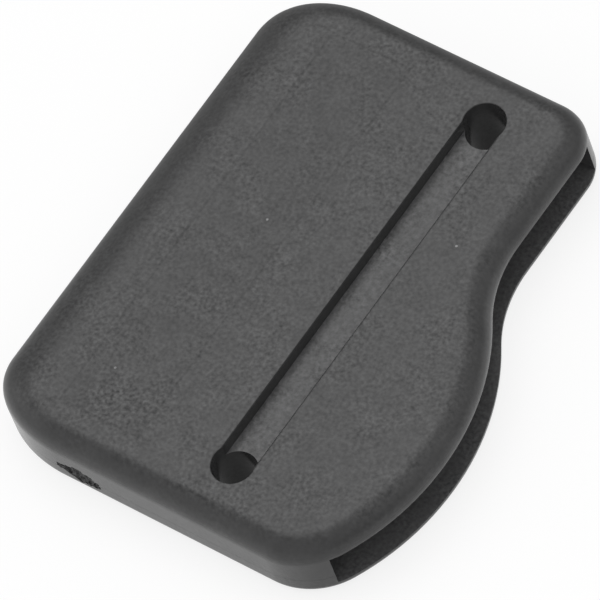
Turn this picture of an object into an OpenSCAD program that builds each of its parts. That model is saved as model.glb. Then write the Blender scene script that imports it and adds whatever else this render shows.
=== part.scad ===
// Buckle slider: a flat moulded case in two shells, open along its S-curved side,
// with a toothed lock bar inside that pinches a looped strap against a cross rib.
// X runs towards the mouth, Y along the mouth and Z up. The origin is under the
// middle of the case, on the underside. Sizes are in millimetres.

/* [Case outline] */
// Length of the case, along the mouth
body_l = 60.3; // [57:0.1:70]
// Width from the left edge to the narrow stretch of the mouth
narrow_w = 41.2; // [40:0.1:45]
// Width from the left edge to the crest of the bulge
wide_w = 49.4; // [47:0.1:54]
// Reach of the two oval left corners along the front and back edges
left_corner_x = 11.1; // [9:0.1:13]
// Reach of the two oval left corners along the left edge
left_corner_y = 7.3; // [6:0.1:10]
// Radius of the back right corner in plan
back_corner_r = 5.1; // [3.5:0.1:7]
// Radius of the front right corner in plan
front_corner_r = 8.4; // [6:0.1:10]
// Angle that the front right corner turns before the bulge takes over
front_corner_turn = 62; // [50:1:75]
// Radius of the bulge in plan
bulge_r = 28.8; // [24:0.1:34]
// Radius of the hollow waist between the bulge and the narrow stretch
waist_r = 15.7; // [12:0.1:22]

/* [Case edges] */
// Reach of the rolled top edge
top_run = 2.8; // [1.6:0.1:3.2]
// Fall of the rolled top edge
top_drop = 3.3; // [1.6:0.1:3.6]
// Reach of the longer roll along the left edge
nose_run = 6.8; // [4:0.1:7.5]
// Fall of the longer roll along the left edge
nose_drop = 4.4; // [2.8:0.1:5]
// Radius of the rolled bottom edge
bottom_round = 1.1; // [0.5:0.05:1.2]

/* [Case walls] */
// Thickness of the floor of the lower shell
floor_t = 1.25; // [1.2:0.05:2]
// Height of the mouth
mouth_h = 4.45; // [4.1:0.05:5]
// Thickness of the upper shell at the lip of the mouth
lip_t = 2.8; // [2.7:0.1:3.4]
// Width of the thick lip behind the mouth
lip_w = 3; // [2.5:0.1:4]
// Thickness of the top plate behind the lip
top_t = 2; // [1.7:0.1:2.3]
// Thickness of the front and back walls
end_wall = 2.95; // [2.6:0.05:3.4]
// Thickness of the left wall
left_wall = 4.5; // [4:0.1:6]
// Radius of the pocket's left corners in plan
pocket_corner_r = 2; // [1:0.1:3]
// Height of the seam between the two shells
seam_h = 2.5; // [2.2:0.1:2.8]

/* [Groove and fixing holes] */
// Distance of the groove's centre line from the left edge
groove_x = 30.6; // [29:0.1:32]
// Width of the groove
groove_w = 4.3; // [3.5:0.1:5]
// Depth of the groove
groove_depth = 1.6; // [1.2:0.05:2]
// Amount by which the hole at each end of the groove is wider than the groove
hole_extra = 0.5; // [0.2:0.1:0.8]
// Distance of each hole's axis from its end of the case
hole_end = 6.7; // [6.2:0.1:8]
// Wall of the tube that lines each hole
tube_wall = 0.7; // [0.6:0.05:1]
// Gap round a tube where it passes the floor
tube_clear = 0.1; // [0.05:0.01:0.2]
// Height of a tube's foot above the underside
tube_lift = 0.2; // [0.1:0.05:0.6]
// Thickness of the rib under the groove
rib_floor = 1.8; // [1.4:0.1:2]
// Wall of the rib beside the groove
rib_side = 1.2; // [1:0.1:1.6]
// Depth to which the rib's ends sink into the end walls
rib_sink = 0.4; // [0.2:0.1:0.8]

/* [Lock bar] */
// Width of the bar, across the strap's pull
bar_w = 6; // [5:0.1:7]
// Thickness of the bar
bar_t = 2.3; // [1.8:0.1:2.5]
// Travel of the bar away from the rib
bar_travel = 6; // [4:0.1:7]
// Gap between the bar and the rib at rest
lock_gap = 0.3; // [0.2:0.05:0.6]
// Height of the bar that stands behind the rib
lock_overlap = 0.25; // [0.1:0.05:0.5]
// Spacing of the bar's teeth
tooth_pitch = 2; // [1.5:0.1:3]
// Depth of the bar's teeth
tooth_depth = 0.5; // [0.3:0.05:0.8]
// Gap between the strap's edge and a shoe
strap_side = 1.5; // [0.8:0.1:2.5]

/* [Guide shoes] */
// Length of a shoe along the bar's travel
shoe_l = 8; // [7:0.1:9]
// Width of a shoe
shoe_w = 5.1; // [4.6:0.1:5.5]
// Depth of the bar's end in a shoe
bar_seat = 3; // [2:0.1:3.5]
// Gap between the bar and its slot in a shoe
seat_clear = 0.05; // [0.02:0.01:0.1]
// Gap between a shoe and the end wall
shoe_side = 0.3; // [0.2:0.05:0.6]
// Gap between a shoe and the floor, and a shoe and the top plate
shoe_rise = 0.2; // [0.15:0.05:0.4]

/* [Springs and pins] */
// Outside diameter of a return spring
spring_d = 3; // [2.6:0.1:3.2]
// Diameter of the spring wire
wire_d = 0.4; // [0.3:0.05:0.45]
// Turns of a return spring
spring_turns = 12; // [8:1:13]
// Depth of a spring's seat in its shoe
spring_seat = 1; // [0.5:0.1:1.4]
// Gap round a spring's end in its seat, and at each of its ends
spring_clear = 0.1; // [0.05:0.05:0.2]
// Diameter of a spring pin
pin_d = 1.6; // [1:0.1:1.7]
// Depth of a spring pin in the left wall
pin_grip = 2.6; // [2:0.1:3]
// Gap between a pin's tip and its shoe at full travel
pin_gap = 0.8; // [0.5:0.1:2]
// Gap round a pin in its hole
pin_clear = 0.02; // [0.01:0.01:0.05]

/* [Case screws] */
// Diameter of a screw's shank
screw_d = 1.6; // [1.4:0.1:2]
// Diameter of a screw's head
screw_head_d = 3; // [2.6:0.1:3.2]
// Length of a screw, head included
screw_l = 5; // [4:0.1:5.4]
// Depth of a screw's head below the underside
screw_sink = 0.15; // [0.1:0.05:0.3]
// Gap round a screw in the lower shell
screw_clear = 0.1; // [0.05:0.05:0.2]
// Wall of a screw boss
boss_wall = 1.1; // [0.9:0.1:1.4]
// Distance of the left screws from the left edge
left_screw_x = 8; // [7.5:0.1:10]
// Distance between the two left screws
left_screw_pitch = 26; // [20:1:30]
// Distance of the right screws from the groove's centre line
right_screw_x = 5.6; // [5.4:0.1:6.5]
// Depth to which the right bosses sink into the end walls
boss_sink = 0.4; // [0.2:0.1:0.8]

/* [Hidden] */
$fn = 48;

// Overshoot of a cut past the face that it opens
over = 1;
// Largest turn between two points of an outline's arc
arc_step = 8;
// Steps of a rolled edge
roll_steps = 7;
// Sides of the spring wire and rings in a turn of it
wire_sides = 6;
turn_rings = 10;
// Gap round a screw's thread in its boss
thread_clear = 0.02;
// Width and depth of a screw's cross recess
recess_w = 0.4;
recess_depth = 0.45;

// Levels and faces of the case
lip_z = floor_t + mouth_h;
body_h = lip_z + lip_t;
ceiling_z = body_h - top_t;
// Level inside the top plate where the rib, tubes and bosses root
root_z = body_h - top_t / 2;
left_x = -wide_w / 2;
right_x = wide_w / 2;
narrow_x = left_x + narrow_w;
front_y = -body_l / 2;
back_y = body_l / 2;
pocket_left_x = left_x + left_wall;
pocket_back_y = back_y - end_wall;

// Groove, rib and tubes
groove_cx = left_x + groove_x;
hole_y = back_y - hole_end;
hole_d = groove_w + hole_extra;
tube_d = hole_d + 2 * tube_wall;
rib_z = body_h - groove_depth - rib_floor;
rib_w = max(groove_w + 2 * rib_side, tube_d);
rib_left_x = groove_cx - rib_w / 2;
rib_end_y = pocket_back_y + rib_sink;

// Lock bar and shoes at rest
bar_right_x = rib_left_x - lock_gap;
bar_left_x = bar_right_x - bar_w;
bar_z = rib_z + lock_overlap - bar_t;
shoe_out_y = pocket_back_y - shoe_side;
shoe_in_y = shoe_out_y - shoe_w;
shoe_left_x = bar_right_x - shoe_l;
shoe_z = floor_t + shoe_rise;
shoe_h = ceiling_z - floor_t - 2 * shoe_rise;
bar_end_y = shoe_in_y + bar_seat;
strap_w = 2 * (shoe_in_y - strap_side);
tooth_count = floor(strap_w / tooth_pitch);

// Springs and pins
spring_y = shoe_out_y - shoe_w / 2;
spring_z = (floor_t + ceiling_z) / 2;
spring_start_x = pocket_left_x + spring_clear;
spring_end_x = shoe_left_x + spring_seat - spring_clear;
spring_coil_r = (spring_d - wire_d) / 2;
spring_rise = spring_end_x - spring_start_x - wire_d;
pin_start_x = pocket_left_x - pin_grip;
pin_end_x = shoe_left_x - bar_travel - pin_gap;

// Screws
boss_d = screw_d + 2 * boss_wall;
head_h = (screw_head_d - screw_d) / 2;
right_screw_y = pocket_back_y + boss_sink - boss_d / 2;
screw_spots = [
    for (s = [-1, 1]) [left_x + left_screw_x, s * left_screw_pitch / 2],
    for (s = [-1, 1]) [groove_cx + right_screw_x, s * right_screw_y]
];

// The outline of the case in plan: each row is a point and its outward normal
waist_turn = acos(1 - (wide_w - narrow_w) / (bulge_r + waist_r));
front_corner_a = front_corner_turn - 90;
bulge_c = [
    right_x - bulge_r,
    front_y + front_corner_r + (bulge_r - front_corner_r) * cos(front_corner_turn)
];
front_corner_c = bulge_c + (bulge_r - front_corner_r) * ray(front_corner_a);
waist_c = bulge_c + (bulge_r + waist_r) * ray(waist_turn);

function ray(a) = [cos(a), sin(a)];
function arc(c, r, from, to, side = 1, skip = 0) =
    let (n = ceil(abs(to - from) / arc_step))
    [for (i = [skip : n]) let (d = ray(from + (to - from) * i / n)) [c + r * d, side * d]];
function left_corner(side, from, to) =
    let (
        n = ceil(abs(to - from) / arc_step),
        c = [left_x + left_corner_x, side * (back_y - left_corner_y)]
    )
    [for (i = [0 : n])
        let (
            d = ray(from + (to - from) * i / n),
            normal = [d.x / left_corner_x, d.y / left_corner_y]
        )
        [c + [d.x * left_corner_x, d.y * left_corner_y], normal / norm(normal)]];

outline = concat(
    left_corner(-1, 180, 270),
    arc(front_corner_c, front_corner_r, -90, front_corner_a),
    arc(bulge_c, bulge_r, front_corner_a, 0, skip = 1),
    arc(bulge_c, bulge_r, 0, waist_turn, skip = 1),
    arc(waist_c, waist_r, 180 + waist_turn, 180, side = -1, skip = 1),
    arc([narrow_x - back_corner_r, back_y - back_corner_r], back_corner_r, 0, 90),
    left_corner(1, 90, 180)
);

// Reach and fall of the top roll, which grow where the outline faces left
function roll_run(n) = [(n.x < 0 ? nose_run : top_run) * n.x, top_run * n.y];
function roll_drop(n) = top_drop + (nose_drop - top_drop) * pow(max(0, -n.x), 2);

function inset_ring(run, z) = [for (row = outline) let (p = row[0] - run * row[1]) [p.x, p.y, z]];
function roll_ring(a) = [
    for (row = outline)
        let (p = row[0] - (1 - cos(a)) * roll_run(row[1]))
        [p.x, p.y, body_h - roll_drop(row[1]) * (1 - sin(a))]
];

// A closed skin through rings that all have as many points, from the bottom up
module skin(rings) {
    n = len(rings[0]);
    top = len(rings) - 1;
    polyhedron(
        points = [for (ring = rings) each ring],
        faces = concat(
            [[for (i = [0 : n - 1]) i]],
            [[for (i = [n - 1 : -1 : 0]) top * n + i]],
            [for (j = [0 : top - 1], i = [0 : n - 1])
                each let (a = j * n + i, b = j * n + (i + 1) % n) [[a, a + n, b + n], [a, b + n, b]]]
        ),
        convexity = 6
    );
}

// Plan of the strap pocket, which runs out through the mouth
module pocket_plan() {
    r = pocket_corner_r;
    translate([pocket_left_x + r, -pocket_back_y])
        square([right_x + over - pocket_left_x - r, 2 * pocket_back_y]);
    translate([pocket_left_x, r - pocket_back_y])
        square([2 * r, 2 * (pocket_back_y - r)]);
    for (s = [-1, 1])
        translate([pocket_left_x + r, s * (pocket_back_y - r)])
            circle(r = r);
}

// Plan of the pocket's high part, which stops behind the lip
module high_plan() {
    intersection() {
        pocket_plan();
        polygon([for (row = outline) row[0] - lip_w * row[1]]);
    }
}

module at_ends() {
    for (s = [-1, 1])
        translate([0, s * hole_y, 0])
            children();
}

module at_screws() {
    for (p = screw_spots)
        translate([p.x, p.y, 0])
            children();
}

// A rod along X
module x_rod(from, to, d, y, z) {
    translate([from, y, z])
        rotate([0, 90, 0])
            cylinder(d = d, h = to - from);
}

module upper_skin() {
    skin(concat(
        [inset_ring(0, seam_h)],
        [for (i = [0 : roll_steps]) roll_ring(90 * i / roll_steps)]
    ));
}

module lower_skin() {
    skin(concat(
        [for (i = [roll_steps : -1 : 0])
            let (a = 90 * i / roll_steps)
            inset_ring(bottom_round * (1 - cos(a)), bottom_round * (1 - sin(a)))],
        [inset_ring(0, seam_h)]
    ));
}

// Cover: rolled top plate, end walls, cross rib, hole tubes and screw bosses
module upper_shell() {
    color([0.33, 0.33, 0.34])
        difference() {
            union() {
                difference() {
                    upper_skin();
                    translate([0, 0, seam_h - over])
                        linear_extrude(lip_z - seam_h + over)
                            pocket_plan();
                    translate([0, 0, seam_h])
                        linear_extrude(ceiling_z - seam_h)
                            high_plan();
                }
                translate([rib_left_x, -rib_end_y, rib_z])
                    cube([rib_w, 2 * rib_end_y, root_z - rib_z]);
                translate([groove_cx, 0, tube_lift])
                    at_ends()
                        cylinder(d = tube_d, h = root_z - tube_lift);
                translate([0, 0, floor_t])
                    at_screws()
                        cylinder(d = boss_d, h = root_z - floor_t);
            }
            translate([groove_cx - groove_w / 2, -hole_y, body_h - groove_depth])
                cube([groove_w, 2 * hole_y, groove_depth + over]);
            translate([groove_cx, 0, tube_lift - over])
                at_ends()
                    cylinder(d = hole_d, h = body_h - tube_lift + 2 * over);
            at_screws()
                cylinder(d = screw_d + 2 * thread_clear, h = screw_sink + screw_l + thread_clear);
            for (s = [-1, 1])
                x_rod(pin_start_x, pocket_left_x + over, pin_d + 2 * pin_clear, s * spring_y, spring_z);
        }
}

// Base: floor plate with a low rim along the closed sides
module lower_shell() {
    color([0.31, 0.31, 0.32])
        difference() {
            lower_skin();
            translate([0, 0, floor_t])
                linear_extrude(seam_h - floor_t + over)
                    pocket_plan();
            translate([groove_cx, 0, -over])
                at_ends()
                    cylinder(d = tube_d + 2 * tube_clear, h = floor_t + 2 * over);
            translate([0, 0, -over])
                at_screws()
                    cylinder(d = screw_d + 2 * screw_clear, h = floor_t + 2 * over);
            at_screws()
                countersink();
        }
}

// Room for a screw's cone head, open at the underside
module countersink() {
    mouth_d = screw_head_d + 2 * screw_clear;
    translate([0, 0, -over])
        cylinder(d = mouth_d, h = over + screw_sink);
    translate([0, 0, screw_sink])
        cylinder(d1 = mouth_d, d2 = screw_d + 2 * screw_clear, h = head_h);
}

// Steel bar with teeth on the side that meets the rib
module lock_bar() {
    tooth_start = -tooth_count * tooth_pitch / 2;
    teeth = [
        for (i = [0 : tooth_count - 1])
            let (y = tooth_start + i * tooth_pitch)
            each [[bar_right_x, y], [bar_right_x - tooth_depth, y + tooth_pitch / 2]]
    ];
    color([0.72, 0.73, 0.75])
        translate([0, 0, bar_z])
            linear_extrude(bar_t)
                polygon(concat(
                    [[bar_left_x, bar_end_y], [bar_left_x, -bar_end_y], [bar_right_x, -bar_end_y]],
                    teeth,
                    [[bar_right_x, -tooth_start], [bar_right_x, bar_end_y]]
                ));
}

// Slide block on one end of the bar, with a seat for the return spring
module guide_shoe(side) {
    slot = bar_w + seat_clear + over;
    color([0.85, 0.85, 0.82])
        mirror([0, side < 0 ? 1 : 0, 0])
            difference() {
                translate([shoe_left_x, shoe_in_y, shoe_z])
                    cube([shoe_l, shoe_w, shoe_h]);
                translate([bar_left_x - seat_clear, shoe_in_y - over, bar_z - seat_clear])
                    cube([slot, bar_seat + seat_clear + over, bar_t + 2 * seat_clear]);
                x_rod(shoe_left_x - over, shoe_left_x + spring_seat, spring_d + 2 * spring_clear,
                    spring_y, spring_z);
            }
}

// Wire swept round the pin; each ring of the sweep lies across the wire
function wire_ring(i) =
    let (
        a = 360 * i / turn_rings,
        x = spring_start_x + wire_d / 2 + spring_rise * i / (turn_rings * spring_turns)
    )
    [for (k = [0 : wire_sides - 1])
        let (b = 360 * k / wire_sides, r = spring_coil_r + wire_d / 2 * cos(b))
        [x + wire_d / 2 * sin(b), r * cos(a), r * sin(a)]];

module return_spring(side) {
    color([0.66, 0.67, 0.7])
        translate([0, side * spring_y, spring_z])
            skin([for (i = [0 : turn_rings * spring_turns]) wire_ring(i)]);
}

module spring_pin(side) {
    color([0.75, 0.76, 0.78])
        x_rod(pin_start_x, pin_end_x, pin_d, side * spring_y, spring_z);
}

// Cone-headed screws that hold the lower shell to the bosses
module case_screws() {
    color([0.45, 0.46, 0.48])
        translate([0, 0, screw_sink])
            at_screws()
                difference() {
                    union() {
                        cylinder(d1 = screw_head_d, d2 = screw_d, h = head_h);
                        cylinder(d = screw_d, h = screw_l);
                    }
                    for (turn = [0, 90])
                        rotate([0, 0, turn])
                            translate([-screw_d / 2, -recess_w / 2, -over])
                                cube([screw_d, recess_w, recess_depth + over]);
                }
}

upper_shell();
lower_shell();
lock_bar();
guide_shoe(-1);  // guide_shoe_front
guide_shoe(1);  // guide_shoe_back
return_spring(-1);  // return_spring_front
return_spring(1);  // return_spring_back
spring_pin(-1);  // spring_pin_front
spring_pin(1);  // spring_pin_back
case_screws();
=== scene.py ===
"""Looks of the buckle slider: the grained case and the sprung strap lock inside it."""

from math import acos, ceil, cos, pi, radians, sin

import bmesh
import bpy
from bpy.props import FloatProperty, FloatVectorProperty, IntProperty, PointerProperty
from mathutils import Matrix, Vector


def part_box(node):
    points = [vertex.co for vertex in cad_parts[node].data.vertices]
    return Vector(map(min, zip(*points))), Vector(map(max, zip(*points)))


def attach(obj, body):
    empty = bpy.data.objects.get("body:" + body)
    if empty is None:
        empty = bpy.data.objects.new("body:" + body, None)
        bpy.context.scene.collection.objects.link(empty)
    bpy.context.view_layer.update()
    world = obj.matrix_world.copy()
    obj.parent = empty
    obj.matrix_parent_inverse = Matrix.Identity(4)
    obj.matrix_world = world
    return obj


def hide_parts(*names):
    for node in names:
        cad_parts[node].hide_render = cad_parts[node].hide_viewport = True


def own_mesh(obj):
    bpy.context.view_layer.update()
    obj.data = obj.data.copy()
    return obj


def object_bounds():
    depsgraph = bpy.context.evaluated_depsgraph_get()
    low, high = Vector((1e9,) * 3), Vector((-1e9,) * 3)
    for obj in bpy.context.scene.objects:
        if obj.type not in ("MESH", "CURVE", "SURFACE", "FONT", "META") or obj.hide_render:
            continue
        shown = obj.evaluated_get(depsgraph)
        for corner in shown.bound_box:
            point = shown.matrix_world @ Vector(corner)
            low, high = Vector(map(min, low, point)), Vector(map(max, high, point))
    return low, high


bl_info = {
    "name": "Buckle slider",
    "version": (1, 0, 0),
    "blender": (4, 5, 0),
    "location": "View3D > Sidebar > Slider",
    "description": "Builds the looks of a strap slider round its packed solids",
    "category": "Add Mesh",
}

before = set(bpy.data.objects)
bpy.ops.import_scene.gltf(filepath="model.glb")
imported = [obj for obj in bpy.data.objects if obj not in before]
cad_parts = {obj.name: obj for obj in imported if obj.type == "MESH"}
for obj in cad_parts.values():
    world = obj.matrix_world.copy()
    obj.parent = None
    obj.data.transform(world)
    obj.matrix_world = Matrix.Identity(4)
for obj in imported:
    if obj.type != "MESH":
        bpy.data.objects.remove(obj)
CAD_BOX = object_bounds()
COVER_LOW, COVER_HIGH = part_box("upper_shell")
BASE_LOW, BASE_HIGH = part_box("lower_shell")
MM = 0.001


# Sizes and colours that a user would change


def length(name, text, millimetres):
    return FloatProperty(name=name, description=text, default=millimetres * MM, unit="LENGTH", precision=5)


def tint(name, text, colour):
    return FloatVectorProperty(
        name=name, description=text, default=colour, size=3, subtype="COLOR", min=0, max=1)


class CaseSizes(bpy.types.PropertyGroup):
    """Sizes of the case"""
    narrow_w: length("Narrow width", "Left edge to the narrow stretch of the mouth", 41.2)
    left_corner_x: length("Left corners across", "Reach of the oval left corners along the ends", 11.1)
    left_corner_y: length("Left corners along", "Reach of the oval left corners along the left edge", 7.3)
    back_corner_r: length("Back corner", "Radius of the back right corner in plan", 5.1)
    front_corner_r: length("Front corner", "Radius of the front right corner in plan", 8.4)
    front_corner_turn: FloatProperty(
        name="Front corner turn", description="Turn of the front right corner before the bulge",
        default=radians(62), subtype="ANGLE")
    bulge_r: length("Bulge", "Radius of the bulge in plan", 28.8)
    waist_r: length("Waist", "Radius of the hollow waist in plan", 15.7)
    top_run: length("Top roll reach", "Reach of the rolled top edge", 2.8)
    top_drop: length("Top roll fall", "Fall of the rolled top edge", 3.3)
    nose_run: length("Left roll reach", "Reach of the longer roll along the left edge", 6.8)
    nose_drop: length("Left roll fall", "Fall of the longer roll along the left edge", 4.4)
    bottom_round: length("Bottom roll", "Radius of the rolled bottom edge", 1.1)
    floor_t: length("Floor", "Thickness of the floor", 1.25)
    mouth_h: length("Mouth", "Height of the mouth", 4.45)
    lip_w: length("Lip", "Width of the thick lip behind the mouth", 3)
    top_t: length("Top plate", "Thickness of the top plate behind the lip", 2)
    end_wall: length("End walls", "Thickness of the front and back walls", 2.95)
    left_wall: length("Left wall", "Thickness of the left wall", 4.5)
    pocket_corner_r: length("Pocket corners", "Radius of the pocket's left corners", 2)
    seam_bevel: length("Seam", "Break of the edge along the seam of the two shells", 0.02)
    lip_drop: length("Lip roll fall", "Fall of the top roll over the mouth", 2.4)
    groove_round: length("Groove edges", "Rounding of the groove's top edges", 0.45)
    hole_round: length("Hole rims", "Rounding of the holes' rims", 0.12)
    lip_round: length("Lip edge", "Rounding of the lip's lower edge", 0.12)
    groove_x: length("Groove place", "Distance of the groove from the left edge", 30.6)
    groove_w: length("Groove width", "Width of the groove", 4.3)
    groove_depth: length("Groove depth", "Depth of the groove", 1.6)
    hole_extra: length("Hole excess", "Amount by which the holes are wider than the groove", 0.5)
    hole_end: length("Hole place", "Distance of each hole from its end of the case", 6.7)
    tube_wall: length("Tube wall", "Wall of the tube that lines each hole", 0.7)
    tube_clear: length("Tube gap", "Gap round a tube in the floor", 0.1)
    tube_lift: length("Tube foot", "Height of a tube's foot above the underside", 0.2)
    rib_floor: length("Rib", "Thickness of the rib under the groove", 1.8)
    rib_side: length("Rib wall", "Wall of the rib beside the groove", 1.2)
    sink: length("Root", "Depth to which ribs and bosses run into their walls", 0.4)


class LockSizes(bpy.types.PropertyGroup):
    """Sizes of the strap lock and its fasteners"""
    tooth_pitch: length("Tooth spacing", "Spacing of the bar's teeth", 2)
    tooth_depth: length("Tooth depth", "Depth of the bar's teeth", 0.5)
    wire_d: length("Wire", "Diameter of the spring wire", 0.4)
    spring_turns: IntProperty(name="Spring turns", description="Turns of a return spring", default=12)
    bar_travel: length("Travel", "Travel of the bar away from the rib", 6)
    screw_d: length("Screw", "Diameter of a screw's shank", 1.6)
    screw_head_d: length("Screw head", "Diameter of a screw's head", 3)
    boss_wall: length("Boss wall", "Wall of a screw boss", 1.1)
    left_screw_x: length("Left screws", "Distance of the left screws from the left edge", 8)
    left_screw_pitch: length("Left screw spacing", "Distance between the two left screws", 26)
    right_screw_x: length("Right screws", "Distance of the right screws from the groove", 5.6)


class FinishColours(bpy.types.PropertyGroup):
    """Colours of the finishes"""
    case: tint("Case", "Dark grey moulded plastic", (0.045, 0.045, 0.0455))
    # Painted light: the groove's lighter grey lifts the shade that its walls cast on its floor
    groove: tint("Groove", "The same plastic in the smoother groove", (0.11, 0.11, 0.111))
    # Painted light: the pocket's lighter grey lifts the shade inside the mouth under the lip
    pocket: tint("Pocket", "The same plastic inside the mouth", (0.11, 0.11, 0.111))
    scar: tint("Torn plastic", "Plastic inside the torn gate", (0.11, 0.11, 0.111))
    steel: tint("Steel", "Ground steel of the bar and pins", (0.62, 0.63, 0.65))
    wire: tint("Spring wire", "Drawn spring wire", (0.5, 0.51, 0.53))
    screw: tint("Screws", "Dark oxide on the screws", (0.2, 0.2, 0.21))
    shoe: tint("Shoes", "Natural acetal of the guide shoes", (0.72, 0.72, 0.68))
    floor: tint("Floor", "Pale floor under the slider", (0.22, 0.22, 0.22))


class CaseLayout:
    """Levels and places of the case, worked out from its sizes"""

    def __init__(self, s):
        self.left_x = COVER_LOW[0]
        self.right_x = COVER_HIGH[0]
        self.front_y = COVER_LOW[1]
        self.back_y = COVER_HIGH[1]
        self.top_z = COVER_HIGH[2]
        self.seam_z = BASE_HIGH[2]
        self.narrow_x = self.left_x + s.narrow_w
        self.lip_z = s.floor_t + s.mouth_h
        self.ceiling_z = self.top_z - s.top_t
        self.root_z = self.top_z - s.top_t / 2
        self.pocket_left_x = self.left_x + s.left_wall
        self.pocket_back_y = self.back_y - s.end_wall
        self.groove_cx = self.left_x + s.groove_x
        self.groove_z = self.top_z - s.groove_depth
        self.hole_y = self.back_y - s.hole_end
        self.hole_r = (s.groove_w + s.hole_extra) / 2
        self.tube_r = self.hole_r + s.tube_wall
        self.rib_half = max(s.groove_w / 2 + s.rib_side, self.tube_r)
        self.rib_z = self.groove_z - s.rib_floor


# Outline of the case in plan: rows of a point and its outward normal


ARC_STEP = radians(2.5)


def ray(angle):
    return Vector((cos(angle), sin(angle)))


def arc_rows(centre, radius, start, end, side=1, skip=0):
    steps = ceil(abs(end - start) / ARC_STEP)
    rows = []
    for i in range(skip, steps + 1):
        way = ray(start + (end - start) * i / steps)
        rows.append((centre + radius * way, side * way))
    return rows


def circle_rows(centre, radius, corners):
    ways = [ray(2 * pi * i / corners) for i in range(corners)]
    return [(centre + radius * way, way) for way in ways]


def left_corner_rows(s, at, side, start, end):
    """One of the two oval left corners"""
    centre = Vector((at.left_x + s.left_corner_x, side * (at.back_y - s.left_corner_y)))
    steps = ceil(abs(end - start) / ARC_STEP)
    rows = []
    for i in range(steps + 1):
        way = ray(start + (end - start) * i / steps)
        reach = Vector((way.x * s.left_corner_x, way.y * s.left_corner_y))
        normal = Vector((way.x / s.left_corner_x, way.y / s.left_corner_y))
        rows.append((centre + reach, normal.normalized()))
    return rows


def case_rows(s, at):
    """The rounded rectangle whose right side bulges at the front and draws in to a waist"""
    width_gain = (at.right_x - at.left_x) - s.narrow_w
    waist_turn = acos(1 - width_gain / (s.bulge_r + s.waist_r))
    corner_end = s.front_corner_turn - pi / 2
    corner_reach = s.bulge_r - s.front_corner_r
    bulge_c = Vector((
        at.right_x - s.bulge_r,
        at.front_y + s.front_corner_r + corner_reach * cos(s.front_corner_turn)))
    front_c = bulge_c + corner_reach * ray(corner_end)
    waist_c = bulge_c + (s.bulge_r + s.waist_r) * ray(waist_turn)
    back_c = Vector((at.narrow_x - s.back_corner_r, at.back_y - s.back_corner_r))
    rows = left_corner_rows(s, at, -1, pi, 1.5 * pi)
    rows += arc_rows(front_c, s.front_corner_r, -pi / 2, corner_end)
    rows += arc_rows(bulge_c, s.bulge_r, corner_end, 0, skip=1)
    rows += arc_rows(bulge_c, s.bulge_r, 0, waist_turn, skip=1)
    rows += arc_rows(waist_c, s.waist_r, pi + waist_turn, pi, side=-1, skip=1)
    rows += arc_rows(back_c, s.back_corner_r, 0, pi / 2)
    rows += left_corner_rows(s, at, 1, pi / 2, pi)
    return rows


def level_ring(inset, z):
    """A ring at one height, set in from the outline"""
    def place(row):
        point = row[0] - inset * row[1]
        return (point.x, point.y, z)
    return place


def roll_ring(s, top_z, angle, beyond=0):
    """A ring of the rolled top edge, which is longer on the left and shorter over the mouth"""
    def place(row):
        point, normal = row
        reach = s.nose_run if normal.x < 0 else s.top_run
        run = Vector((reach * normal.x, s.top_run * normal.y))
        side_drop = s.nose_drop if normal.x < 0 else s.lip_drop
        drop = s.top_drop + (side_drop - s.top_drop) * normal.x ** 2
        point = point - (1 - cos(angle)) * run - beyond * normal
        return (point.x, point.y, top_z - drop * (1 - sin(angle)))
    return place


def flared_rings(at, low_z, rim):
    """Rings of a cutter that leaves a rounded rim where it comes out of the top face"""
    steps = 5
    angles = [pi / 2 * i / steps for i in range(steps + 1)]
    rings = [level_ring(0, low_z)]
    rings += [level_ring(-rim * (1 - cos(a)), at.top_z - rim * (1 - sin(a))) for a in angles]
    return rings + [level_ring(-rim, at.top_z + MM)]


# Modelling steps


def deselect():
    if bpy.context.mode != "OBJECT":
        bpy.ops.object.mode_set(mode="OBJECT")
    bpy.ops.object.select_all(action="DESELECT")


def take(obj):
    deselect()
    obj.select_set(True)
    bpy.context.view_layer.objects.active = obj


def named(name):
    """The object just added, with its place moved into its mesh"""
    obj = bpy.context.object
    obj.name = name
    obj.data.name = name
    bpy.ops.object.transform_apply(location=True, rotation=True, scale=True)
    return obj


def face_outwards(obj):
    take(obj)
    bpy.ops.object.mode_set(mode="EDIT")
    bpy.ops.mesh.select_all(action="SELECT")
    bpy.ops.mesh.normals_make_consistent(inside=False)
    bpy.ops.object.mode_set(mode="OBJECT")


def copied(obj, name, move=(0, 0, 0), mirror=False):
    """A copy of a piece with its own mesh, moved to its place or mirrored from front to back"""
    take(obj)
    bpy.ops.object.duplicate()
    copy = bpy.context.object
    copy.location = move
    if mirror:
        copy.scale.y = -1
    named(name)
    if mirror:
        face_outwards(copy)
    return copy


def skin(name, rows, rings):
    """A closed form through rings: a filled circle whose corners follow the outline, extruded up"""
    deselect()
    bpy.ops.mesh.primitive_circle_add(vertices=len(rows), radius=MM, fill_type="NGON")
    obj = named(name)
    rank = obj.data.attributes.new("rank", "INT", "POINT")
    rank.data.foreach_set("value", range(len(rows)))
    bpy.ops.object.mode_set(mode="EDIT")
    bpy.ops.mesh.select_all(action="SELECT")
    for i, place in enumerate(rings):
        if i > 0:
            bpy.ops.mesh.extrude_region_move()
        mesh = bmesh.from_edit_mesh(obj.data)
        order = mesh.verts.layers.int["rank"]
        for corner in mesh.verts:
            if corner.select:
                corner.co = place(rows[corner[order]])
        bmesh.update_edit_mesh(obj.data)
    face_outwards(obj)
    obj.data.attributes.remove(obj.data.attributes["rank"])
    return obj


def block(name, low, high):
    deselect()
    middle = [(a + b) / 2 for a, b in zip(low, high)]
    sides = [b - a for a, b in zip(low, high)]
    bpy.ops.mesh.primitive_cube_add(size=1, location=middle, scale=sides)
    return named(name)


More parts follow.
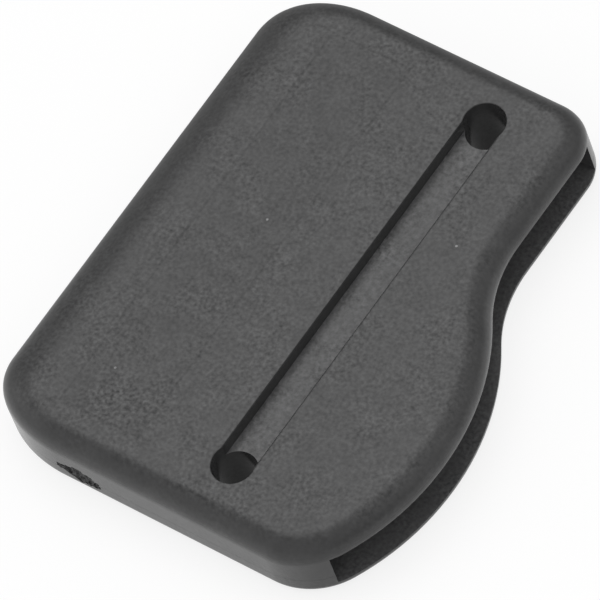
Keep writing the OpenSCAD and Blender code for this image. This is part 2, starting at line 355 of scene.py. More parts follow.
def rod(name, foot, height, radius, end_radius=None, along="Z", corners=64):
    """A round rod or cone that starts at its foot"""
    deselect()
    turn = (0, pi / 2, 0) if along == "X" else (0, 0, 0)
    way = Vector((1, 0, 0)) if along == "X" else Vector((0, 0, 1))
    bpy.ops.mesh.primitive_cone_add(
        vertices=corners, radius1=radius, radius2=radius if end_radius is None else end_radius,
        depth=height, location=Vector(foot) + way * height / 2, rotation=turn)
    return named(name)


def apply_modifier(obj, kind, **settings):
    take(obj)
    step = obj.modifiers.new(kind.lower(), kind)
    for key, value in settings.items():
        setattr(step, key, value)
    bpy.ops.object.modifier_apply(modifier=step.name)


def carve(obj, tool, operation="DIFFERENCE", finish=None):
    """Cuts a tool out of a piece, or joins it on, and removes the tool; the cut can have its own finish"""
    if finish:
        tool.data.materials.append(bpy.data.materials[finish])
    apply_modifier(obj, "BOOLEAN", object=tool, operation=operation, solver="EXACT",
                   material_mode="TRANSFER")
    bpy.data.objects.remove(tool)


def round_edges(obj, wanted, width, segments=2):
    """Bevels the edges for which wanted is true"""
    take(obj)
    bpy.ops.object.mode_set(mode="EDIT")
    bpy.ops.mesh.select_mode(type="EDGE")
    bpy.ops.mesh.select_all(action="DESELECT")
    mesh = bmesh.from_edit_mesh(obj.data)
    for edge in mesh.edges:
        if wanted(edge):
            edge.select = True
    mesh.select_flush_mode()
    bmesh.update_edit_mesh(obj.data)
    bpy.ops.mesh.bevel(offset=width, segments=segments, affect="EDGES", clamp_overlap=True)
    bpy.ops.object.mode_set(mode="OBJECT")


def ends(edge):
    return [corner.co for corner in edge.verts]


def smooth(obj, angle=35):
    """Joins corners that cuts left on one spot, shades round faces smoothly and keeps flat ones flat"""
    same_spot = 0.00001 * MM
    apply_modifier(obj, "WELD", merge_threshold=same_spot)
    bpy.ops.object.shade_smooth_by_angle(angle=radians(angle))
    apply_modifier(obj, "WEIGHTED_NORMAL", keep_sharp=True, weight=100)


def coat(obj, finish):
    obj.data.materials.append(bpy.data.materials[finish])
    return obj


def settle(obj, slot, body, *nodes):
    """Puts a finished piece on its body and hides the solids that it stands for; the slot is not used"""
    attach(obj, body)
    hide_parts(*nodes)


def pocket_block(name, s, at, low_z, high_z):
    """The strap pocket, which runs out through the mouth"""
    y = at.pocket_back_y
    obj = block(name, (at.pocket_left_x, -y, low_z), (at.right_x + MM, y, high_z))
    inner = at.pocket_left_x + MM

    def upright_left(edge):
        a, b = ends(edge)
        return a.x < inner and b.x < inner and abs(a.z - b.z) > MM

    round_edges(obj, upright_left, s.pocket_corner_r, segments=10)
    return obj


# Place along the wall and above the seam, half length and half height of each bit in the gate scar, in mm
TORN_BITS = (
    (11.4, 0.3, 0.9, 0.55),
    (12.3, 0.2, 0.9, 0.9),
    (13.5, 0.1, 1.1, 1.4),
    (14.6, 0, 1.0, 1.15),
    (15.5, -0.3, 0.7, 0.7),
)
TORN_DEPTH = 0.55
TORN_START = 0.05 * MM
TORN_RAGGED = 0.16 * MM


def tear_gate(at, shell):
    """Breaks out the ragged bits that came away with the sprue, at the seam on the front wall"""
    for i, (along, above, half_length, half_height) in enumerate(TORN_BITS):
        deselect()
        bpy.ops.mesh.primitive_ico_sphere_add(
            subdivisions=3, radius=MM, scale=(half_length, TORN_DEPTH, half_height),
            location=(at.left_x + along * MM, at.front_y - TORN_START, at.seam_z + above * MM))
        bit = named("torn_bit")
        bpy.ops.object.mode_set(mode="EDIT")
        bpy.ops.mesh.select_all(action="SELECT")
        bpy.ops.transform.vertex_random(offset=TORN_RAGGED, uniform=0, normal=1, seed=i + 10)
        bpy.ops.object.mode_set(mode="OBJECT")
        carve(shell, bit, finish="torn_gate")


def screw_spots(s, lock, at):
    boss_r = lock.screw_d / 2 + lock.boss_wall
    left_x = at.left_x + lock.left_screw_x
    right_x = at.groove_cx + lock.right_screw_x
    right_y = at.pocket_back_y + s.sink - boss_r
    return [(x, side * y)
            for x, y in ((left_x, lock.left_screw_pitch / 2), (right_x, right_y))
            for side in (-1, 1)]


# Finishes


class Finish:
    """A material under construction"""

    def __init__(self, name):
        self.material = bpy.data.materials.new(name)
        self.material.use_nodes = True
        self.tree = self.material.node_tree
        self.tree.nodes.clear()
        self.output = self.node("ShaderNodeOutputMaterial")
        self.shader = self.node("ShaderNodeBsdfPrincipled")
        self.tree.links.new(self.shader.outputs[0], self.output.inputs["Surface"])
        self.place = self.node("ShaderNodeTexCoord").outputs["Object"]

    def node(self, kind, **settings):
        made = self.tree.nodes.new(kind)
        for key, value in settings.items():
            setattr(made, key, value)
        return made

    def put(self, socket, value):
        if isinstance(value, bpy.types.NodeSocket):
            self.tree.links.new(value, socket)
        else:
            socket.default_value = value

    def noise(self, size, detail=2, roughness=0.5, stretch=None):
        """Soft noise whose patches are about that size, in metres"""
        made = self.node("ShaderNodeTexNoise")
        place = self.place
        if stretch:
            mapping = self.node("ShaderNodeMapping")
            self.put(mapping.inputs["Vector"], place)
            mapping.inputs["Scale"].default_value = stretch
            place = mapping.outputs["Vector"]
        self.put(made.inputs["Vector"], place)
        made.inputs["Scale"].default_value = 1 / size
        made.inputs["Detail"].default_value = detail
        made.inputs["Roughness"].default_value = roughness
        return made.outputs["Fac"]

    def span(self, value, low, high, to_low, to_high):
        made = self.node("ShaderNodeMapRange")
        for name, item in zip(("Value", "From Min", "From Max", "To Min", "To Max"),
                              (value, low, high, to_low, to_high)):
            self.put(made.inputs[name], item)
        return made.outputs["Result"]

    def math(self, operation, *values):
        made = self.node("ShaderNodeMath", operation=operation)
        for socket, value in zip(made.inputs, values):
            self.put(socket, value)
        return made.outputs[0]

    def shade(self, colour, factor):
        """A colour made lighter or darker by a factor"""
        made = self.node("ShaderNodeVectorMath", operation="SCALE")
        self.put(made.inputs[0], colour)
        self.put(made.inputs["Scale"], factor)
        return made.outputs[0]

    def bump(self, height, depth, strength=1):
        made = self.node("ShaderNodeBump")
        made.inputs["Strength"].default_value = strength
        made.inputs["Distance"].default_value = depth
        self.put(made.inputs["Height"], height)
        return made.outputs["Normal"]

    def set(self, **values):
        for key, value in values.items():
            self.put(self.shader.inputs[key.replace("_", " ")], value)


# Place and strength of the painted shade round the mould's insert on the top face
INSERT_MIDDLE = Vector((-10.1 * MM, -0.15 * MM))
INSERT_HALF = Vector((5.1 * MM, 25.5 * MM))
INSERT_LINE = 0.22 * MM
INSERT_SHADE = 0.04
INSERT_LINE_SHADE = 0.14
SCUFF_MIDDLE = Vector((-9.5 * MM, -23 * MM, COVER_HIGH[2]))
SCUFF_CORE = 2 * MM
SCUFF_REACH = 6 * MM
GRAIN_SIZE = 0.42 * MM
GRAIN_BUMP = 0.03 * MM
GRAIN_TONE = 1.6
CLOUD_SIZE = 2.2 * MM
PATCH_SIZE = 5 * MM
SPECK_SPACING = 4 * MM
# Reach of a speck as a share of that spacing, and the share of places without one
SPECK_REACH = 0.035
SPECK_FREE = 0.97
SPECK_GAIN = 4


def insert_painted_shade(f):
    """Painted shade on the top face: a little inside the faint rectangle of the mould's insert, so the
    strip beside the left roll stays lighter as a painted highlight, and most on its line, for the shade in
    that fine line
    """
    split = f.node("ShaderNodeSeparateXYZ")
    f.put(split.inputs[0], f.place)
    off = []
    for axis, middle, half in zip("XY", INSERT_MIDDLE, INSERT_HALF):
        aside = f.math("ABSOLUTE", f.math("SUBTRACT", split.outputs[axis], middle))
        off.append(f.math("SUBTRACT", aside, half))
    edge = f.math("MAXIMUM", *off)
    inside = f.math("LESS_THAN", edge, 0.0)
    line = f.span(f.math("ABSOLUTE", edge), INSERT_LINE, 0, 0, 1)
    on_top = f.math("GREATER_THAN", split.outputs["Z"], COVER_HIGH[2] - 0.02 * MM)
    shade = f.math("MULTIPLY_ADD", line, INSERT_LINE_SHADE, f.math("MULTIPLY", inside, INSERT_SHADE))
    return f.math("SUBTRACT", 1, f.math("MULTIPLY", on_top, shade))


def grain_depth(f, level):
    """Depth of the grain: less on walls, uneven in patches and most on a scuffed spot of the top"""
    patches = f.span(f.noise(PATCH_SIZE, detail=1), 0.35, 0.65, 0.6, 1.2)
    spot = f.node("ShaderNodeVectorMath", operation="DISTANCE")
    f.put(spot.inputs[0], f.place)
    spot.inputs[1].default_value = SCUFF_MIDDLE
    scuff = f.span(spot.outputs["Value"], SCUFF_CORE, SCUFF_REACH, 0.6, 0)
    return f.math("MULTIPLY", f.span(level, 0.75, 0.97, 0.35, 1), f.math("ADD", patches, scuff))


def pale_specks(f, level):
    """1 on a few small specks of the level faces, and 0 elsewhere"""
    cells = f.node("ShaderNodeTexVoronoi", voronoi_dimensions="2D")
    f.put(cells.inputs["Vector"], f.place)
    cells.inputs["Scale"].default_value = 1 / SPECK_SPACING
    near = f.math("LESS_THAN", cells.outputs["Distance"], SPECK_REACH)
    pick = f.node("ShaderNodeSeparateColor")
    f.put(pick.inputs[0], cells.outputs["Color"])
    rare = f.math("GREATER_THAN", pick.outputs[0], SPECK_FREE)
    flat = f.math("GREATER_THAN", level, 0.97)
    return f.math("MULTIPLY", f.math("MULTIPLY", near, rare), flat)


def grained_plastic(name, colour, shine_level=0.5):
    """Dark moulded plastic with a fine eroded grain on its flats, smoother walls, a few pale specks and
    painted shade round the mould's insert on the top
    """
    f = Finish(name)
    grain = f.noise(GRAIN_SIZE, detail=2)
    cloud = f.noise(CLOUD_SIZE, detail=2)
    # Random cloudy tone times the painted shade round the insert, which also dims the shine
    cloud_and_painted_shade = f.math("MULTIPLY", insert_painted_shade(f), f.span(cloud, 0.3, 0.7, 0.94, 1.06))
    facing = f.node("ShaderNodeSeparateXYZ")
    f.put(facing.inputs[0], f.node("ShaderNodeNewGeometry").outputs["Normal"])
    level = f.math("ABSOLUTE", facing.outputs["Z"])
    speck = f.math("MULTIPLY_ADD", pale_specks(f, level), SPECK_GAIN, 1)
    pits = f.math("MULTIPLY", f.math("SUBTRACT", grain, 0.5), grain_depth(f, level))
    pitted = f.math("MULTIPLY_ADD", pits, GRAIN_TONE, 1)
    tone = f.math("MULTIPLY", f.math("MULTIPLY", cloud_and_painted_shade, speck), pitted)
    shine = f.math("MULTIPLY", cloud_and_painted_shade, f.math("MULTIPLY_ADD", pits, shine_level, shine_level))
    f.set(Base_Color=f.shade((*colour,), tone), Specular_IOR_Level=shine)
    f.set(Roughness=f.span(level, 0, 0.5, 0.22, 0.36), Normal=f.bump(pits, GRAIN_BUMP))
    return f.material


def torn_plastic(name, colour):
    f = Finish(name)
    rough = f.noise(0.45 * MM, detail=4, roughness=0.7)
    f.set(Base_Color=f.shade((*colour,), f.span(rough, 0.35, 0.65, 0.15, 1.9)), Roughness=0.7)
    f.set(Normal=f.bump(rough, 0.25 * MM))
    return f.material


def metal(name, colour, roughness, streak):
    """Metal with fine working marks, drawn out along the streak's long side"""
    f = Finish(name)
    marks = f.noise(0.2 * MM, detail=3, roughness=0.6, stretch=streak)
    stain = f.span(f.noise(3 * MM, detail=2), 0.3, 0.7, 0.9, 1.06)
    f.set(Base_Color=f.shade((*colour,), stain), Metallic=1.0)
    f.set(Roughness=f.span(marks, 0.3, 0.7, roughness - 0.08, roughness + 0.1))
    f.set(Normal=f.bump(marks, 0.01 * MM, 0.4))
    return f.material


def smooth_plastic(name, colour):
    f = Finish(name)
    cloud = f.span(f.noise(2.5 * MM, detail=2), 0.3, 0.7, 0.95, 1.04)
    f.set(Base_Color=f.shade((*colour,), cloud), Roughness=0.34)
    f.set(Normal=f.bump(f.noise(0.3 * MM), 0.01 * MM, 0.3))
    return f.material


# Pieces


class SLIDER_OT_cover(bpy.types.Operator):
    """Moulds the cover: rolled top, groove, hole tubes, cross rib, bosses and the lip of the mouth"""
    bl_idname = "slider.cover"
    bl_label = "Cover"

    def execute(self, context):
        s = context.scene.slider_case
        lock = context.scene.slider_lock
        at = CaseLayout(s)
        rows = case_rows(s, at)
        roll_steps = 14
        flat_rim = 0.4 * MM
        rings = [level_ring(s.seam_bevel, at.seam_z), level_ring(0, at.seam_z + s.seam_bevel)]
        rings += [roll_ring(s, at.top_z, pi / 2 * i / roll_steps) for i in range(roll_steps + 1)]
        rings.append(roll_ring(s, at.top_z, pi / 2, beyond=flat_rim))
        cover = coat(skin("cover", rows, rings), "case_grain")
        # The pocket's faces take the lighter grey of painted light inside the shaded mouth
        carve(cover, pocket_block("pocket", s, at, at.seam_z - MM, at.lip_z), finish="pocket_grain_painted_light")
        high = pocket_block("high_pocket", s, at, at.seam_z, at.ceiling_z)
        behind_lip = skin("behind_lip", rows, [
            level_ring(s.lip_w, at.seam_z - MM), level_ring(s.lip_w, at.top_z)])
        carve(high, behind_lip, "INTERSECT")
        carve(cover, high)
        self.root_details(s, lock, at, cover)
        self.open_top(s, at, cover)
        self.round_lip(s, at, cover, rows)
        tear_gate(at, cover)
        smooth(cover, 20)
        settle(cover, "case_plastic", "case", "upper_shell")
        return {"FINISHED"}

    def root_details(self, s, lock, at, cover):
        """Adds what hangs under the top plate, with the bores for pins and screws"""
        rib_y = at.pocket_back_y + s.sink
        carve(cover, block("rib", (at.groove_cx - at.rib_half, -rib_y, at.rib_z),
                           (at.groove_cx + at.rib_half, rib_y, at.root_z)), "UNION")
        for side in (-1, 1):
            carve(cover, rod("tube", (at.groove_cx, side * at.hole_y, s.tube_lift),
                             at.root_z - s.tube_lift, at.tube_r), "UNION")
        play = 0.02 * MM
        screw_end_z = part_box("case_screws")[1][2]
        for x, y in screw_spots(s, lock, at):
            carve(cover, rod("boss", (x, y, s.floor_t), at.root_z - s.floor_t,
                             lock.screw_d / 2 + lock.boss_wall, corners=40), "UNION")
            carve(cover, rod("bore", (x, y, 0), screw_end_z + play, lock.screw_d / 2 + play, corners=32))
        for node in ("spring_pin_front", "spring_pin_back"):
            low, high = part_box(node)
            radius = (high[2] - low[2]) / 2
            foot = (low[0], (low[1] + high[1]) / 2, (low[2] + high[2]) / 2)
            carve(cover, rod("pin_bore", foot, at.pocket_left_x + MM - low[0], radius + play,
                             along="X", corners=32))

    def open_top(self, s, at, cover):
        """Sinks the groove and drills the hole at each of its ends, with rounded rims"""
        half = s.groove_w / 2
        right = Vector((1, 0))
        soft_rim, crisp_rim = 0.8 * right, -0.3 * right
        left_x, right_x = at.groove_cx - half, at.groove_cx + half
        sides = [(Vector((left_x, -at.hole_y)), crisp_rim), (Vector((right_x, -at.hole_y)), soft_rim),
                 (Vector((right_x, at.hole_y)), soft_rim), (Vector((left_x, at.hole_y)), crisp_rim)]
        groove = skin("groove", sides, flared_rings(at, at.groove_z, s.groove_round))
        carve(cover, groove, finish="groove_grain_painted_light")
        # Only the groove's floor keeps the lighter grey of painted light; faces higher up go back to the
        # case finish
        for face in cover.data.polygons:
            if face.center.z > at.groove_z + 0.1 * MM:
                face.material_index = 0
        for side in (-1, 1):
            rim = arc_rows(Vector((at.groove_cx, side * at.hole_y)), at.hole_r, 0, 2 * pi, skip=1)
            carve(cover, skin("hole", rim, flared_rings(at, -MM, s.hole_round)))

    def round_lip(self, s, at, cover, rows):
        """Rounds the lower edge of the lip, along the open side only"""
        r = s.lip_round
        steps = 6
        angles = [pi / 2 * i / steps for i in range(steps, -1, -1)]
        rings = [level_ring(r, at.lip_z - MM)]
        rings += [level_ring(r * (1 - cos(a)), at.lip_z + r * (1 - sin(a))) for a in angles]
        rings += [level_ring(-MM, at.lip_z + r), level_ring(-MM, at.top_z)]
        end_y = at.pocket_back_y - 0.01 * MM
        low_z, high_z = at.lip_z - 0.5 * MM, at.lip_z + r + 0.1 * MM
        edge = block("lip_edge", (at.groove_cx + at.rib_half, -end_y, low_z),
                     (at.right_x + MM, end_y, high_z))
        carve(edge, skin("lip_core", rows, rings))
        carve(cover, edge)


class SLIDER_OT_base(bpy.types.Operator):
    """Moulds the base: floor plate, low rim, tube holes and countersinks"""
    bl_idname = "slider.base"
    bl_label = "Base"

    def execute(self, context):
        s = context.scene.slider_case
        lock = context.scene.slider_lock
        at = CaseLayout(s)
        rows = case_rows(s, at)
        roll_steps = 8
        angles = [pi / 2 * i / roll_steps for i in range(roll_steps, -1, -1)]
        rings = [level_ring(s.bottom_round * (1 - cos(a)), s.bottom_round * (1 - sin(a))) for a in angles]
        rings += [level_ring(0, at.seam_z - s.seam_bevel), level_ring(s.seam_bevel, at.seam_z)]
        base = coat(skin("base", rows, rings), "case_grain")
        # The pocket's faces take the lighter grey of painted light inside the shaded mouth
        carve(base, pocket_block("pocket", s, at, s.floor_t, at.seam_z + MM), finish="pocket_grain_painted_light")
        for side in (-1, 1):
            carve(base, rod("tube_hole", (at.groove_cx, side * at.hole_y, -MM), s.floor_t + 2 * MM,
                            at.tube_r + s.tube_clear))
        gap = 0.1 * MM
        shank_r = lock.screw_d / 2 + gap
        head_r = lock.screw_head_d / 2 + gap
        head_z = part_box("case_screws")[0][2]
        cone = head_r - shank_r
        rings = [level_ring(0, -MM), level_ring(0, head_z),
                 level_ring(cone, head_z + cone), level_ring(cone, s.floor_t + MM)]
        for x, y in screw_spots(s, lock, at):
            carve(base, skin("screw_hole", circle_rows(Vector((x, y)), head_r, 40), rings))
        tear_gate(at, base)
        smooth(base, 20)
        settle(base, "case_plastic", "case", "lower_shell")
        return {"FINISHED"}


class SLIDER_OT_lock_bar(bpy.types.Operator):
    """Cuts the toothed lock bar and rounds the edge that the strap turns round"""
    bl_idname = "slider.lock_bar"
    bl_label = "Lock bar"

    def execute(self, context):
        lock = context.scene.slider_lock
        low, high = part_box("lock_bar")
        shoe_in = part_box("guide_shoe_back")[0][1]
        bar = coat(block("toothed_bar", low, high), "ground_steel")
        plain_end = 1.5 * MM
        strap_round = 0.9 * MM
        toothed = 2 * (shoe_in - plain_end)
        count = int(toothed / lock.tooth_pitch)
        for i in range(count):
            y = (i - count / 2 + 0.5) * lock.tooth_pitch
            deselect()
            bpy.ops.mesh.primitive_cylinder_add(
                vertices=4, radius=lock.tooth_depth, depth=high[2] - low[2] + 2 * MM,
                location=(high[0], y, (low[2] + high[2]) / 2),
                scale=(1, lock.tooth_pitch / 2 / lock.tooth_depth, 1))
            carve(bar, named("notch"))

        def strap_edge(edge):
            a, b = ends(edge)
            return max(a.x, b.x) < low[0] + 0.1 * MM and abs(a.y - b.y) > MM

        round_edges(bar, strap_edge, strap_round, segments=6)
        smooth(bar)
        settle(bar, "bar_steel", "lock", "lock_bar")
        return {"FINISHED"}


class SLIDER_OT_guide_shoes(bpy.types.Operator):
    """Moulds the slide block on the front end of the bar and mirrors it to the back end"""
    bl_idname = "slider.guide_shoes"
    bl_label = "Guide shoes"

    def execute(self, context):
        bar_low, bar_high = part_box("lock_bar")
        low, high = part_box("guide_shoe_front")
        spring_low, spring_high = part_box("return_spring_front")
        gap = 0.05 * MM
        edge_round = 0.25 * MM
        front = coat(block("shoe_front", low, high), "acetal")
        round_edges(front, lambda edge: True, edge_round)
        carve(front, block("bar_slot", (bar_low[0] - gap, bar_low[1] - gap, bar_low[2] - gap),
                           (bar_high[0] + MM, bar_high[1] + gap, bar_high[2] + gap)))
        seat_r = (spring_high[2] - spring_low[2]) / 2 + 2 * gap
        middle = [(a + b) / 2 for a, b in zip(spring_low, spring_high)]
        carve(front, rod("spring_seat", (low[0] - MM, middle[1], middle[2]),
                         spring_high[0] + 2 * gap - low[0] + MM, seat_r, along="X"))
        back = copied(front, "shoe_back", mirror=True)
        for shoe, node in ((front, "guide_shoe_front"), (back, "guide_shoe_back")):
            smooth(shoe)
            settle(shoe, "shoe_plastic", "lock", node)
        return {"FINISHED"}


class SLIDER_OT_return_springs(bpy.types.Operator):
    """Winds one return spring, copies it and gives each spring its own mesh"""
    bl_idname = "slider.return_springs"
    bl_label = "Return springs"

    def execute(self, context):
        lock = context.scene.slider_lock
        low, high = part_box("return_spring_front")
        front = self.wind(context, lock, low, high)
        step_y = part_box("return_spring_back")[0][1] - low[1]
        back = copied(front, "spring_back", move=(0, step_y, 0))
        for spring, node in ((front, "return_spring_front"), (back, "return_spring_back")):
            settle(spring, "spring_steel", "case", node)
            low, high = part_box(node)
            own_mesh(spring)
        return {"FINISHED"}

    def wind(self, context, lock, low, high):
        middle = [(a + b) / 2 for a, b in zip(low, high)]
        coil_r = (high[2] - low[2] - lock.wire_d) / 2
        rise = high[0] - low[0] - lock.wire_d
        wire_r = 0.98 * lock.wire_d / 2
        start = (low[0] + lock.wire_d / 2, middle[1] + coil_r, middle[2])
        deselect()
        bpy.ops.mesh.primitive_circle_add(
            vertices=10, radius=wire_r, fill_type="NOTHING", location=start)
        spring = coat(named("spring_front"), "drawn_wire")
        axle = bpy.data.objects.new("axle", None)
        context.collection.objects.link(axle)
        axle.matrix_world = Matrix.Translation(middle)
        apply_modifier(spring, "SCREW", object=axle, axis="X", angle=2 * pi, steps=28, render_steps=28,
                       screw_offset=rise / lock.spring_turns, iterations=lock.spring_turns,
                       use_merge_vertices=False)
        bpy.data.objects.remove(axle)
        bpy.ops.object.mode_set(mode="EDIT")
        bpy.ops.mesh.select_all(action="SELECT")
        bpy.ops.mesh.fill_holes(sides=0)
        face_outwards(spring)
        smooth(spring, 60)
        return spring


class SLIDER_OT_spring_pins(bpy.types.Operator):
    """Turns one spring pin with broken ends and copies it"""
    bl_idname = "slider.spring_pins"
    bl_label = "Spring pins"

    def execute(self, context):
        low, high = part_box("spring_pin_front")
        foot = (low[0], (low[1] + high[1]) / 2, (low[2] + high[2]) / 2)
        front = rod("pin_front", foot, high[0] - low[0], (high[2] - low[2]) / 2, along="X", corners=48)
        coat(front, "ground_steel")
        end_round = 0.2 * MM
        round_edges(front, lambda edge: edge.calc_face_angle(0) > 1, end_round, segments=3)
        smooth(front)
        step_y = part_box("spring_pin_back")[0][1] - low[1]
        back = copied(front, "pin_back", move=(0, step_y, 0))
        for pin, node in ((front, "spring_pin_front"), (back, "spring_pin_back")):
            settle(pin, "bar_steel", "case", node)
        return {"FINISHED"}


class SLIDER_OT_case_screws(bpy.types.Operator):
    """Turns one cone-headed screw and copies it to the four bosses"""
    bl_idname = "slider.case_screws"
    bl_label = "Case screws"

    def execute(self, context):
        s = context.scene.slider_case
        lock = context.scene.slider_lock
        at = CaseLayout(s)
        low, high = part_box("case_screws")
        spots = screw_spots(s, lock, at)
        head_h = (lock.screw_head_d - lock.screw_d) / 2
        recess_depth = 0.45 * MM
        recess_long, recess_thin = 0.8 * MM, 0.2 * MM
        x, y = spots[0]
        first = rod("screw_1", (x, y, low[2]), head_h, lock.screw_head_d / 2, lock.screw_d / 2, corners=48)
        carve(first, rod("shank", (x, y, low[2] + head_h / 2), high[2] - low[2] - head_h / 2,
                         lock.screw_d / 2, corners=48), "UNION")
        for half_x, half_y in ((recess_long, recess_thin), (recess_thin, recess_long)):
            carve(first, block("recess", (x - half_x, y - half_y, low[2] - MM),
                               (x + half_x, y + half_y, low[2] + recess_depth)))
        coat(first, "dark_oxide")
        smooth(first)
        screws = [first]
        for i, spot in enumerate(spots[1:]):
            screws.append(copied(first, "screw_%d" % (i + 2), move=(spot[0] - x, spot[1] - y, 0)))
        for screw in screws:
            settle(screw, "screw_steel", "case", "case_screws")
        return {"FINISHED"}


class SLIDER_OT_finishes(bpy.types.Operator):
    """Mixes the finishes of the pieces"""
    bl_idname = "slider.finishes"
    bl_label = "Finishes"

    def execute(self, context):
        colours = context.scene.slider_colours
        grained_plastic("case_grain", colours.case)
        # The groove's and the pocket's greys are lighter than the case as painted light in their shade
        grained_plastic("groove_grain_painted_light", colours.groove, 0.3)
        grained_plastic("pocket_grain_painted_light", colours.pocket)
        torn_plastic("torn_gate", colours.scar)
        metal("ground_steel", colours.steel, 0.3, (1, 0.06, 1))
        metal("drawn_wire", colours.wire, 0.28, (1, 1, 1))
        metal("dark_oxide", colours.screw, 0.42, (1, 1, 0.2))
        smooth_plastic("acetal", colours.shoe)
        return {"FINISHED"}


# Stage


CAMERA_AZIMUTH = radians(-36.2155)
CAMERA_ELEVATION = radians(55.8948)
CAMERA_ROLL = radians(-22.3082)
CAMERA_DISTANCE = 1.111
PIXELS_PER_MM = 9.5286
IMAGE_PIXELS = 600
IMAGE_OFFSET = (21.51, -8.52)
SKY_LEVEL = 0.35
# Azimuth, elevation, inner and outer edge in degrees, and strength of each soft light
SOFT_LIGHTS = (
    (150, 66, 8, 38, 1.7),
    (-75, 5, 10, 60, 0.4),
    (-150, 12, 5, 40, 0.65),
    (30, 40, 5, 50, 0.5),
)
# Glow of the floor, and the shares of it that reflections show far behind the slider and under its groove
FLOOR_GLOW = 0.81
BACK_GLOW = 0.32
SHADED_GLOW = 0.3
# Way to the back, and where the glow starts and stops to fall along it
BACK_WAY = Vector((-0.8, 0.6))
BACK_NEAR = 2 * MM
BACK_FAR = 34 * MM
AIM = Vector((-0.05 * MM, -0.15 * MM, 4.25 * MM))


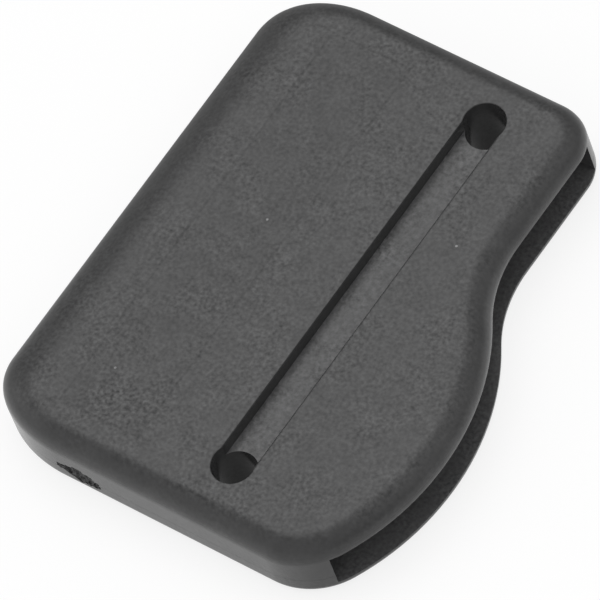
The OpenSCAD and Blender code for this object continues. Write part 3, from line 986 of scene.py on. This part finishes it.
class SLIDER_OT_stage(bpy.types.Operator):
    """Sets the pale floor, the soft overhead light and the camera"""
    bl_idname = "slider.stage"
    bl_label = "Stage"

    def execute(self, context):
        self.lay_floor(context)
        self.light(context)
        self.aim_camera(context)
        context.scene.view_settings.view_transform = "Standard"
        return {"FINISHED"}

    def lay_floor(self, context):
        deselect()
        bpy.ops.mesh.primitive_plane_add(size=4, location=(0, 0, -0.05 * MM))
        floor = named("floor")
        f = Finish("pale_floor")
        f.tree.nodes.remove(f.shader)
        matte = f.node("ShaderNodeBsdfDiffuse")
        matte.inputs["Color"].default_value = (*context.scene.slider_colours.floor, 1)
        glow = f.node("ShaderNodeEmission")
        rays = f.node("ShaderNodeLightPath").outputs
        mirrored = f.math("MAXIMUM", rays["Is Glossy Ray"], rays["Is Transmission Ray"])
        split = f.node("ShaderNodeSeparateXYZ")
        f.put(split.inputs[0], f.place)
        x, y = split.outputs["X"], split.outputs["Y"]
        under = self.under_groove(f, x, y)
        direct = f.math("MULTIPLY", rays["Is Camera Ray"], f.math("SUBTRACT", 1, under))
        reflected = f.math("MULTIPLY", mirrored, f.span(under, 0, 1, self.sheet(f, x, y), SHADED_GLOW))
        f.put(glow.inputs["Strength"], f.math("MULTIPLY", f.math("MAXIMUM", direct, reflected), FLOOR_GLOW))
        both = f.node("ShaderNodeAddShader")
        f.put(both.inputs[0], matte.outputs[0])
        f.put(both.inputs[1], glow.outputs[0])
        f.put(f.output.inputs["Surface"], both.outputs[0])
        floor.data.materials.append(f.material)

    def under_groove(self, f, x, y):
        """1 on the shaded floor under the groove, which only shows through the holes, and 0 elsewhere"""
        groove_x = CaseLayout(bpy.context.scene.slider_case).groove_cx
        half_x = 4 * MM
        half_y = CAD_BOX[1][1] - 2 * MM
        under_x = f.math("LESS_THAN", f.math("ABSOLUTE", f.math("SUBTRACT", x, groove_x)), half_x)
        under_y = f.math("LESS_THAN", f.math("ABSOLUTE", y), half_y)
        return f.math("MULTIPLY", under_x, under_y)

    def sheet(self, f, x, y):
        """Brightness of the floor in reflections: full before the slider and less behind it"""
        behind = f.math("ADD", f.math("MULTIPLY", x, BACK_WAY.x), f.math("MULTIPLY", y, BACK_WAY.y))
        return f.span(behind, BACK_NEAR, BACK_FAR, 1, BACK_GLOW)

    def light(self, context):
        """A dim dome with one strong soft light over the back left and weaker ones round the sides"""
        world = bpy.data.worlds.new("studio")
        context.scene.world = world
        world.use_nodes = True
        tree = world.node_tree
        sky = tree.nodes["Background"]
        sky.inputs["Color"].default_value = (1, 1, 1, 1)
        place = tree.nodes.new("ShaderNodeTexCoord").outputs["Generated"]
        total = None
        for azimuth, elevation, inner, outer, strength in SOFT_LIGHTS:
            level = cos(radians(elevation))
            towards = tree.nodes.new("ShaderNodeVectorMath")
            towards.operation = "DOT_PRODUCT"
            towards.inputs[1].default_value = (
                level * cos(radians(azimuth)), level * sin(radians(azimuth)), sin(radians(elevation)))
            tree.links.new(place, towards.inputs[0])
            glow = tree.nodes.new("ShaderNodeMapRange")
            glow.interpolation_type = "SMOOTHSTEP"
            tree.links.new(towards.outputs["Value"], glow.inputs["Value"])
            glow.inputs["From Min"].default_value = cos(radians(outer))
            glow.inputs["From Max"].default_value = cos(radians(inner))
            glow.inputs["To Max"].default_value = strength
            add = tree.nodes.new("ShaderNodeMath")
            tree.links.new(glow.outputs["Result"], add.inputs[0])
            if total:
                tree.links.new(total, add.inputs[1])
            else:
                add.inputs[1].default_value = SKY_LEVEL
            total = add.outputs[0]
        tree.links.new(total, sky.inputs["Strength"])

    def aim_camera(self, context):
        """Looks down on the slider from its front right, with the camera rolled a little"""
        level = cos(CAMERA_ELEVATION)
        back = Vector((level * cos(CAMERA_AZIMUTH), level * sin(CAMERA_AZIMUTH), sin(CAMERA_ELEVATION)))
        right = Vector((-sin(CAMERA_AZIMUTH), cos(CAMERA_AZIMUTH), 0))
        up = back.cross(right)
        across = cos(CAMERA_ROLL) * right + sin(CAMERA_ROLL) * up
        upward = cos(CAMERA_ROLL) * up - sin(CAMERA_ROLL) * right
        pixel = MM / PIXELS_PER_MM
        place = AIM + CAMERA_DISTANCE * back
        place += -IMAGE_OFFSET[0] * pixel * across + IMAGE_OFFSET[1] * pixel * upward
        lens = bpy.data.cameras.new("camera")
        lens.sensor_width = 36
        lens.lens = lens.sensor_width * CAMERA_DISTANCE / (IMAGE_PIXELS * pixel)
        lens.clip_start = 0.05
        lens.clip_end = 20
        camera = bpy.data.objects.new("camera", lens)
        turn = Matrix((across, upward, back)).transposed()
        camera.matrix_world = Matrix.Translation(place) @ turn.to_4x4()
        context.collection.objects.link(camera)
        context.scene.camera = camera


class SLIDER_PT_panel(bpy.types.Panel):
    """Lists the steps and sizes of the slider"""
    bl_label = "Buckle slider"
    bl_idname = "SLIDER_PT_panel"
    bl_space_type = "VIEW_3D"
    bl_region_type = "UI"
    bl_category = "Slider"

    def draw(self, context):
        for step in STEPS:
            self.layout.operator(step.bl_idname)
        for group in (context.scene.slider_case, context.scene.slider_lock, context.scene.slider_colours):
            box = self.layout.box()
            for key in group.bl_rna.properties.keys():
                if key not in ("rna_type", "name"):
                    box.prop(group, key)


STEPS = (
    SLIDER_OT_finishes, SLIDER_OT_stage, SLIDER_OT_cover, SLIDER_OT_base, SLIDER_OT_lock_bar,
    SLIDER_OT_guide_shoes, SLIDER_OT_return_springs, SLIDER_OT_spring_pins, SLIDER_OT_case_screws,
)
GROUPS = (CaseSizes, LockSizes, FinishColours)


def register():
    for kind in GROUPS + STEPS + (SLIDER_PT_panel,):
        bpy.utils.register_class(kind)
    bpy.types.Scene.slider_case = PointerProperty(type=CaseSizes)
    bpy.types.Scene.slider_lock = PointerProperty(type=LockSizes)
    bpy.types.Scene.slider_colours = PointerProperty(type=FinishColours)


def unregister():
    del bpy.types.Scene.slider_colours
    del bpy.types.Scene.slider_lock
    del bpy.types.Scene.slider_case
    for kind in reversed(GROUPS + STEPS + (SLIDER_PT_panel,)):
        bpy.utils.unregister_class(kind)


def main():
    register()
    bpy.ops.slider.finishes()
    bpy.ops.slider.stage()
    bpy.ops.slider.cover()
    bpy.ops.slider.base()
    bpy.ops.slider.lock_bar()
    bpy.ops.slider.guide_shoes()
    bpy.ops.slider.return_springs()
    bpy.ops.slider.spring_pins()
    bpy.ops.slider.case_screws()


if __name__ == "__main__":
    main()
